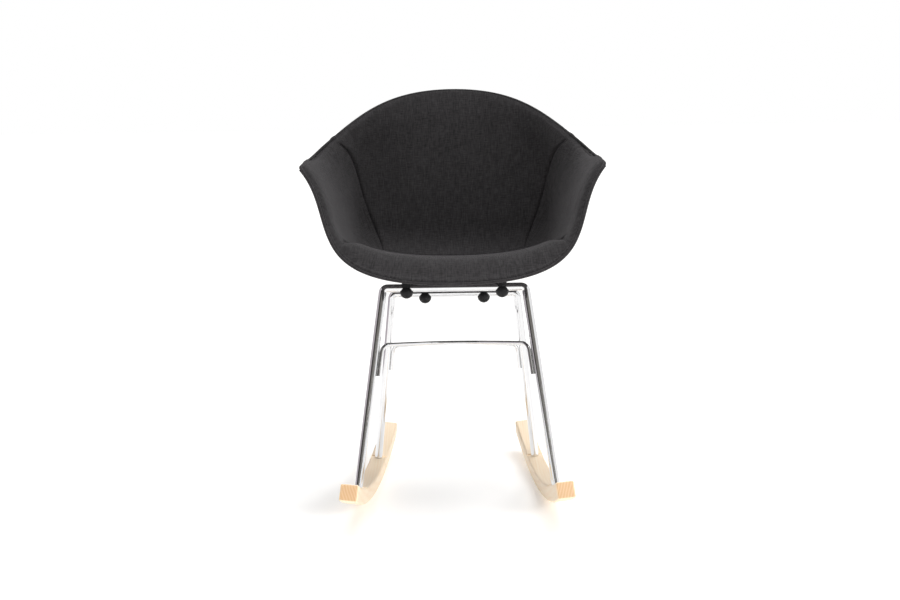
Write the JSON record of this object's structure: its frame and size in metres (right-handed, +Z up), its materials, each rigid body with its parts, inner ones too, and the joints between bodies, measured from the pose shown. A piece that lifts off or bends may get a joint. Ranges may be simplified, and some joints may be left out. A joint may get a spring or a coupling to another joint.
{
  "type": "upholstered rocking chair",
  "caption": "Armchair with a padded bucket seat in dark woven fabric, bolted to bent chromed tube legs that stand in curved pale wooden rockers, so the whole chair rocks on the floor.",
  "frame": {"origin": "On the floor, midway between the rockers, under the line where they touch it at rest", "axes": "+Z up, -Y the way a sitter faces, X across; left is left as seen from the front"},
  "size_m": [0.6078, 0.662, 0.8215],
  "materials": {
    "upholstery_fabric": "fine two-tone charcoal weave",
    "foam": "open-cell foam, hidden",
    "shell_plastic": "moulded, hidden",
    "chrome_tube": "polished chrome plate",
    "mount_plastic": "satin black",
    "rocker_wood": "pale hardwood, clear satin lacquer",
    "zinc_steel": "zinc plated"
  },
  "bodies": {
    "root": {"seat_shell": "shell_plastic", "threaded_inserts": "zinc_steel", "seat_foam": "foam", "back_foam": "foam", "left_arm_foam": "foam", "right_arm_foam": "foam", "seat_cover": "upholstery_fabric", "back_cover": "upholstery_fabric", "left_arm_cover": "upholstery_fabric", "right_arm_cover": "upholstery_fabric", "outer_cover": "upholstery_fabric", "rim_piping": "upholstery_fabric", "front_leg_frame": "chrome_tube", "rear_leg_frame": "chrome_tube", "front_stretcher": "chrome_tube", "rear_stretcher": "chrome_tube", "left_rocker": "rocker_wood", "right_rocker": "rocker_wood", "leg_plugs": "zinc_steel", "rocker_bolts": "zinc_steel", "rocker_washers": "zinc_steel", "front_left_mount_saddle": "mount_plastic", "front_right_mount_saddle": "mount_plastic", "rear_left_mount_saddle": "mount_plastic", "rear_right_mount_saddle": "mount_plastic", "front_left_mount_cap": "mount_plastic", "front_right_mount_cap": "mount_plastic", "rear_left_mount_cap": "mount_plastic", "rear_right_mount_cap": "mount_plastic", "mount_domes": "mount_plastic", "mount_bolts": "zinc_steel", "mount_washers": "zinc_steel"}
  },
  "joints": []
}
